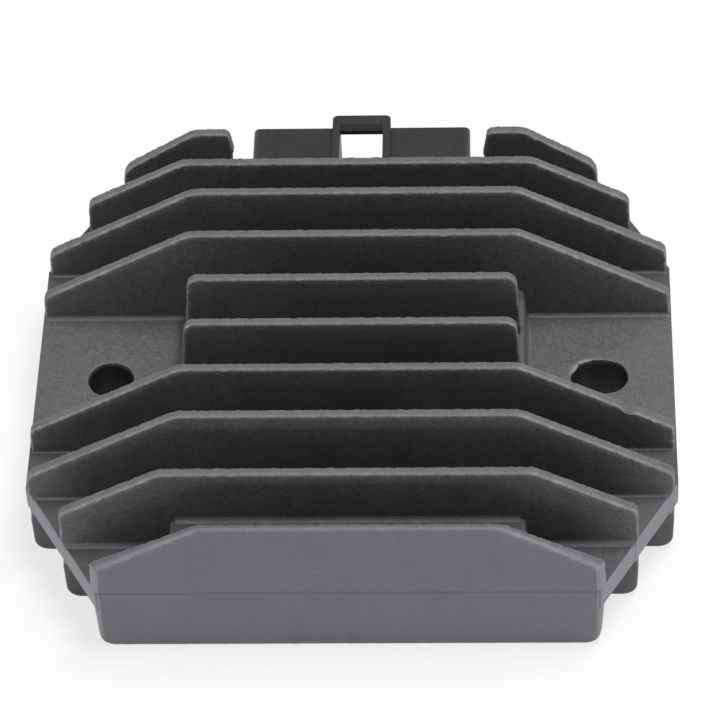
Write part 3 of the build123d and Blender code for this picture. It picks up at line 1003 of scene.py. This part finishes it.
        # rim values: -1 paints shade down the hole; the hole's edge and flash are lighter, partly wear and
        # partly painted highlight
        shell = turned_round([
            (loop(hole), 0.0, -1.0), (loop(hole), 5.0, -1.0), (loop(hole + 0.2 * ragged), deck - 1.1, -1.0),
            (loop(hole + ragged), deck - 0.28, 0.1 + 0.4 * flash),
            (loop(hole + ragged + 0.12), deck - 0.08, 0.4 + 0.8 * flash),
            (loop(hole + ragged + 0.38), deck, 0.25 + 0.8 * flash), (loop(hole + 0.75), deck, 0.3 * flash),
            (loop(hole + 1.2), deck, 0.0), (loop(hole + 2.6), deck, 0.0),
            (outline - inset, deck, 0.1), (outline - inset * 0.3, deck - 0.09, cut_face),
            (outline, deck - edge, cut_face), (outline, under + edge, cut_face),
            (outline - inset, under, 0.2), (loop(boss + 0.6), under, 0.0),
            (loop(boss + 0.15), under - 0.25, 0.0), (loop(boss), under - 0.8, 0.0),
            (loop(boss - 0.07), 0.3, 0.2), (loop(boss - 0.3), 0.0, 0.3), (loop(hole + 0.3), 0.0, 0.1),
        ])
        shell.points[:, :, 0] *= 1 if side > 0 else -1
        return shell

    def block_loop(self, x_half: float, y_front: float, y_rear: float, corner: float = 0.3) -> Array:
        """Points round a rectangle, with pairs at the connector's opening in its rear side.

        Each side is a straight run that ends in a quarter circle, the front one first.

        Args:
            x_half: half its width.
            y_front: Y of its front side.
            y_rear: Y of its rear side.
            corner: the radius of its corners.

        Returns:
            X and Y of the loop.
        """
        x, opening = x_half - corner, self.opening_half
        across = np.linspace(-x, x, 90)
        behind = np.sort(np.concatenate([np.linspace(-x, x, 60), np.repeat((-opening, opening), 2)]))
        up = np.linspace(y_front + corner, y_rear - corner, 60)
        runs = ((across, y_front), (x_half, up), (behind[::-1], y_rear), (-x_half, up[::-1]))
        middles = ((x, up[0]), (x, up[-1]), (-x, up[-1]), (-x, up[0]))
        parts = []
        for i, (run, middle) in enumerate(zip(runs, middles)):
            turn = np.linspace(0, pi / 2, 6)[1:-1] + (i - 1) * pi / 2
            parts.append(np.column_stack(np.broadcast_arrays(*run)))
            parts.append(middle + corner * np.column_stack([np.cos(turn), np.sin(turn)]))
        return np.concatenate(parts)

    def block(self) -> Shell:
        """The raised block and the walls of the pocket in it, open below.

        The surface turns round the block. Its section runs from the middle of the top down the drafted side
        and the outer wall, and up the pocket to the middle of its ceiling. Behind the connector the wall
        ends there.

        Returns:
            The block's shell.
        """
        slope = tan(radians(self.block_draft))
        front, rear, half, edge = self.block_front, self.wall_rear, self.block_half, self.block_edge
        outer = self.block_loop(half, front, rear)
        at_opening = np.isclose(outer[:, 1], rear) & np.isclose(np.abs(outer[:, 0]), self.opening_half)
        pairs = np.flatnonzero(at_opening)
        lift = np.zeros(len(outer))
        lift[pairs[1]:pairs[2] + 1] = self.pocket_top
        middle = np.tile((0.0, (front + rear) / 2), (len(outer), 1))
        # the middle of the block's top is below 0: painted shade between the fins
        section = [(middle, self.block_top, -0.5)]
        top_half = half - (self.block_top - self.deck) * slope + 0.05
        for share, glow in self.block_turns:
            turn = share * (pi / 2 - radians(self.block_draft))
            inset = edge * (1 - sin(turn))
            section.append((self.block_loop(top_half - inset, front, rear - 0.25 * inset),
                            self.block_top - edge * (1 - cos(turn)), glow))
        pocket = (self.pocket_half, self.pocket_front, self.wall_inner)
        ceiling = np.add(pocket, (-0.27, 0.27, -0.27))
        return turned_round(section + [
            (self.block_loop(half - 0.05 * slope, front, rear), np.maximum(self.deck + 0.05, lift), 0.0),
            (self.block_loop(half - 0.1, front, rear), np.maximum(0.25, lift), 0.1),
            (self.block_loop(half - 0.35, front + 0.2, rear), lift, 0.2),
            (self.block_loop(*pocket, self.pocket_corner), lift, 0.1),
            (self.block_loop(*ceiling, self.pocket_corner), self.pocket_top, 0.0),
            (middle, self.pocket_top, 0.0),
        ])

    def foot_section(self, face: float, floor: float, way: int, foot: float) -> Array:
        """A concave foot: a quarter circle from the floor to the wall, closed inside both.

        Args:
            face: Y of the wall's face.
            floor: Z of the floor.
            way: 1 where the wall stands on the foot's +Y side, else -1.
            foot: the circle's radius.

        Returns:
            Y and Z of the loop.
        """
        bend = np.linspace(0, pi / 2, 6)
        arc = np.column_stack([face - way * foot * (1 - np.sin(bend)), floor + foot * (1 - np.cos(bend))])
        inside, below = face + way * 0.3, floor - 0.3
        return np.concatenate([arc, [(inside, floor + foot), (inside, below), (face - way * foot, below)]])

    def feet(self) -> list[Shell]:
        """Concave feet along the fins on the plate and on the block, and along the block's sides.

        Returns:
            Their shells.
        """
        shells = []
        for row, size in enumerate(self.rows):
            for way in (-1, 1):
                if (row == 0 and way < 0) or (self.trimmed(row) and way > 0):
                    continue
                face = self.centre(row) - way * self.base / 2
                # feet are painted lighter, front ones more: partly a lighter texture, partly painted
                # highlight
                glow = self.front_foot_glow if way > 0 else self.rear_foot_glow
                if row > 0:
                    section = self.foot_section(face + way * 0.05, self.block_top, way, size.foot)
                    end = self.block_half - 1.35
                    shells.append(bar(section, -end, end, glow))
                if size.level > 0:
                    section = self.foot_section(face, self.deck, way, size.foot)
                    end = np.minimum(self.side(section[:, 0]) - 0.05, self.reach(row) - 0.02)
                    start = self.block_half - 0.5
                    shells += [bar(section, start, end, glow), bar(section, -end, -start, glow)]
        for side in (-1, 1):
            section = self.foot_section(-self.block_half, self.deck, 1, 0.5) * (-side, 1)
            beside = bar(section, self.block_front + 0.2, self.wall_rear, 0.3)
            beside.points = beside.points[:, :, [1, 0, 2]]
            shells.append(beside)
        return shells

    def webs(self) -> list[Shell]:
        """The webs under the plate that join the hole bosses to the pocket's walls.

        Returns:
            Two bars.
        """
        half = [(self.web_half, self.plate_under + 1.0, 0.3), (self.web_half, self.proud, 0.4)]
        section, _ = rounded_path(self.mirrored(half), 1.2, True)
        near, far = self.block_half - 1.0, self.hole_place - self.hole_radius - 1.5
        return [bar(section, near, far), bar(section, -far, -near)]

    def build(self) -> Piece:
        """Joins the casting's surfaces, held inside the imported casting's box.

        Returns:
            The casting.
        """
        shells = [self.ear_plate(-1), self.ear_plate(1), self.block()]
        for row, size in enumerate(self.rows):
            shells += self.fin(row) + (self.rib(row) if size.level > 0 else [])
        shells += self.feet() + self.webs()
        low = (-self.half_width, -self.half_depth, 0.0)
        high = (self.half_width, self.half_depth, self.deck + max(size.height for size in self.rows))
        for shell in shells:
            shell.points = np.clip(shell.points, low, high)
        return joined("casting", shells)

    def dress(self) -> Piece:
        """Gives the casting its finish and its body, and hides the imported node that it stands for.

        Returns:
            The casting.
        """
        casting = self.build()
        casting.data.materials.append(CastFinish().material())
        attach(casting, "root")
        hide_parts("heatsink")
        return casting


# The connector


def repaint(nodes: tuple[str, ...], material: Material) -> None:
    """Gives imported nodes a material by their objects' slots, so that their meshes stay as they are.

    Args:
        nodes: the nodes' names.
        material: what they get.
    """
    for node in nodes:
        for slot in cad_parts[node].material_slots:
            slot.link = "OBJECT"
            slot.material = material


@dataclass
class Connector:
    """The plug housing with softened edges, and its tinned blades."""

    edge: float = 0.3
    bevel_steps: int = 3
    sharp: float = 40.0
    plastic: MouldedFinish = MouldedFinish("housing_plastic", 0.019, 0.42, 0.03, specular=0.25)
    tin: SheetMetalFinish = SheetMetalFinish("tinned_blade", (0.72, 0.70, 0.66, 1.0), 0.32)
    blades: tuple[str, ...] = ("terminal_phase_1", "terminal_phase_2", "terminal_phase_3",
                               "terminal_battery", "terminal_ground", "terminal_sense")

    def housing(self) -> Piece:
        """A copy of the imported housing, merged, with a bevel on every sharp edge.

        Returns:
            The housing, which stands for its node.
        """
        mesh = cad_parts["connector_housing"].data.copy()
        mesh.name = "plug_housing"
        cleaner = bmesh.new()
        cleaner.from_mesh(mesh)
        bmesh.ops.remove_doubles(cleaner, verts=cleaner.verts, dist=MERGE)
        bmesh.ops.dissolve_limit(cleaner, angle_limit=radians(1), verts=cleaner.verts, edges=cleaner.edges)
        weights = cleaner.edges.layers.float.new("bevel_weight_edge")
        for edge in cleaner.edges:
            if edge.calc_face_angle(0.0) > radians(self.sharp):
                edge[weights] = 1.0
        cleaner.to_mesh(mesh)
        cleaner.free()
        mesh.materials.clear()
        mesh.materials.append(self.plastic.material())
        smooth(mesh, 50.0)
        housing = linked("plug_housing", mesh)
        bevel = housing.modifiers.new("soft_edges", "BEVEL")
        bevel.width = self.edge * MM
        bevel.segments = self.bevel_steps
        bevel.limit_method = "WEIGHT"
        bevel.harden_normals = True
        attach(housing, "root")
        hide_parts("connector_housing")
        return housing

    def dress(self) -> Piece:
        """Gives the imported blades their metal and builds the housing."""
        repaint(self.blades, self.tin.material())
        return self.housing()


# The sealed electronics


class Inner(Enum):
    """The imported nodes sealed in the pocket, by kind, each kind with its finish."""

    DEVICE = (("thyristor_1", "thyristor_2", "thyristor_3", "diode_1", "diode_2", "diode_3"),
              MouldedFinish("epoxy_device", 0.02, 0.55, skin=0.15))
    CHIP = (("control_chip", "reference_diode"), MouldedFinish("epoxy_chip", 0.02, 0.55, skin=0.15))
    PAD = (("thermal_pad",), MouldedFinish("silicone_pad", 0.36, 0.8, skin=0.5))
    BOARD = (("circuit_board",), LaminateFinish())
    CAN = (("filter_capacitor",), SheetMetalFinish("capacitor_can", (0.62, 0.62, 0.63, 1.0), 0.4))
    RESISTOR = (("gate_resistors",), MouldedFinish("resistor_ceramic", 0.05, 0.5, skin=0.2))
    RESIN = (("potting_resin",), ResinFinish())


class Electronics:
    """The sealed electronics and the resin over them."""

    def dress(self) -> None:
        """Gives every inner node its finish."""
        for kind in Inner:
            nodes, finish = kind.value
            repaint(nodes, finish.material())
            log.info("%s dressed", ", ".join(nodes))


# The studio


@dataclass
class Studio:
    """Pale floor, soft lamps and the photograph's camera."""

    place: Triple = (27.63, -443.94, 484.82)
    azimuth: float = 3.426
    elevation: float = 46.448
    roll: float = -2.864
    lens: float = 198.01
    sensor: float = 36.0
    floor_half: float = 3.0
    floor_tone: float = 0.93
    floor_white: float = 0.75
    sky: float = 0.218

    def camera(self) -> None:
        """Puts the camera where the photograph was taken, by its azimuth, elevation and roll."""
        a, e, r = radians(self.azimuth), radians(self.elevation), radians(self.roll)
        back = Vector((sin(a) * cos(e), -cos(a) * cos(e), sin(e)))
        right = Vector((cos(a), sin(a), 0.0))
        up = back.cross(right)
        right, up = right * cos(r) + up * sin(r), up * cos(r) - right * sin(r)
        data = bpy.data.cameras.new("camera")
        data.lens = self.lens
        data.sensor_width = self.sensor
        data.clip_start, data.clip_end = 0.05, 10.0
        camera = linked("camera", data)
        turn = Matrix((right, up, back)).transposed().to_4x4()
        camera.matrix_world = Matrix.Translation(Vector(self.place) * MM) @ turn
        bpy.context.scene.camera = camera

    def floor(self) -> None:
        """A wide pale floor just under the mounting plane, which the camera sees paler than it is."""
        half = self.floor_half
        mesh = bpy.data.meshes.new("floor")
        corners = [(-half, -half, 0), (half, -half, 0), (half, half, 0), (-half, half, 0)]
        mesh.from_pydata(corners, [], [(0, 1, 2, 3)])
        floor = linked("floor", mesh)
        floor.location = (0, 0, -0.0001)
        graph = SurfaceGraph("pale_floor")
        graph.finish(base_color=(self.floor_tone,) * 3 + (1.0,), roughness=0.9, specular_ior_level=0.1)
        surface = graph.output.inputs["Surface"]
        white = graph.add("ShaderNodeEmission", None, {"Strength": 1.0}).outputs["Emission"]
        paler = graph.mix(graph.seen() * self.floor_white, surface.links[0].from_socket, white)
        below = Value(graph, graph.add("ShaderNodeNewGeometry").outputs["Backfacing"])
        clear = graph.add("ShaderNodeBsdfTransparent").outputs["BSDF"]
        graph.tree.links.new(graph.mix(below, paler, clear), surface)
        mesh.materials.append(graph.material)

    def lamp(self, name: str, place: Triple, aim: Triple, size: Point, power: float) -> None:
        """Adds a soft rectangular lamp.

        Args:
            name: its name.
            place: where it hangs, in metres.
            aim: the point it faces.
            size: its width and height in metres.
            power: its power in watts.
        """
        data = bpy.data.lights.new(name, "AREA")
        data.shape = "RECTANGLE"
        data.size, data.size_y = size
        data.energy = power
        lamp = linked(name, data)
        lamp.location = place
        lamp.rotation_mode = "QUATERNION"
        lamp.rotation_quaternion = (Vector(place) - Vector(aim)).to_track_quat("Z", "Y")

    def world(self) -> None:
        """A dim even sky that lights things, and a white one that the camera and reflections see."""
        world = bpy.data.worlds.new("studio_sky")
        world.use_nodes = True
        graph = Graph(world.node_tree)
        white = (1.0, 1.0, 1.0, 1.0)
        dim, bright = (graph.add("ShaderNodeBackground", None, {"Color": white, "Strength": strength})
                       for strength in (self.sky, 1.0))
        shader = graph.mix(graph.seen(), dim.outputs["Background"], bright.outputs["Background"])
        graph.tree.links.new(shader, graph.add("ShaderNodeOutputWorld").inputs["Surface"])
        bpy.context.scene.world = world

    def build(self) -> None:
        """Sets up the floor, the sky, the lamps, the camera and the plain colour view."""
        bpy.context.scene.view_settings.view_transform = "Standard"
        self.floor()
        self.world()
        self.lamp("overhead", (0.2, 0.06, 0.9), (0.0, 0.0, 0.0), (0.45, 0.36), 7.6)
        self.lamp("left", (-0.85, -0.38, 0.16), (0.0, 0.0, 0.01), (0.35, 0.25), 0.9)
        self.lamp("front", (0.0, -0.7, 0.05), (0.0, 0.0, 0.012), (0.8, 0.08), 0.77)
        self.camera()


def main() -> None:
    """Builds the object and the studio."""
    logging.basicConfig(level=logging.INFO, format="%(name)s: %(message)s")
    for part in (Casting(), Connector()):
        piece = part.dress()
        log.info("%s has %d faces", piece.name, len(piece.data.polygons))
    Electronics().dress()
    Studio().build()


if __name__ == "__main__":
    main()
